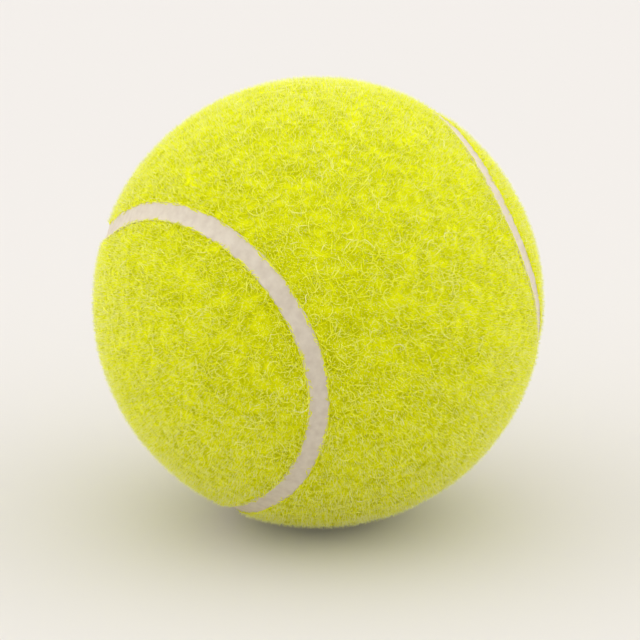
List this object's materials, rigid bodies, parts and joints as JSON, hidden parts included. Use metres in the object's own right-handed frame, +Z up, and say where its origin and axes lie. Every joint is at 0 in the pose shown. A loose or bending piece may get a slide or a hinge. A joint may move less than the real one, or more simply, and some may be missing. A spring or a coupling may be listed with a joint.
{
  "type": "tennis ball",
  "caption": "Pressurised tennis ball: a hollow rubber core wrapped in interlocking dumb-bell felt panels, with a recessed line of pale seam rubber between their edges.",
  "frame": {"origin": "the centre of the ball", "axes": "+Z up, with the point that the ball rests on at -Z; the waist of the front felt panel faces -Y, up and towards +X"},
  "size_m": [0.067, 0.0669, 0.067],
  "materials": {
    "core_rubber": "moulded, matt dark grey",
    "cement": "dried rubber cement, pale tan, satin",
    "felt": "napped wool and nylon felt, optic yellow, matt",
    "seam_rubber": "cured rubber, off-white, matt"
  },
  "bodies": {
    "root": {"upper_core_half": "core_rubber", "lower_core_half": "core_rubber", "core_joint": "cement", "core_cement_coat": "cement", "front_panel_backing": "cement", "rear_panel_backing": "cement", "front_felt_panel": "felt", "rear_felt_panel": "felt", "seam_rubber": "seam_rubber"}
  },
  "joints": []
}
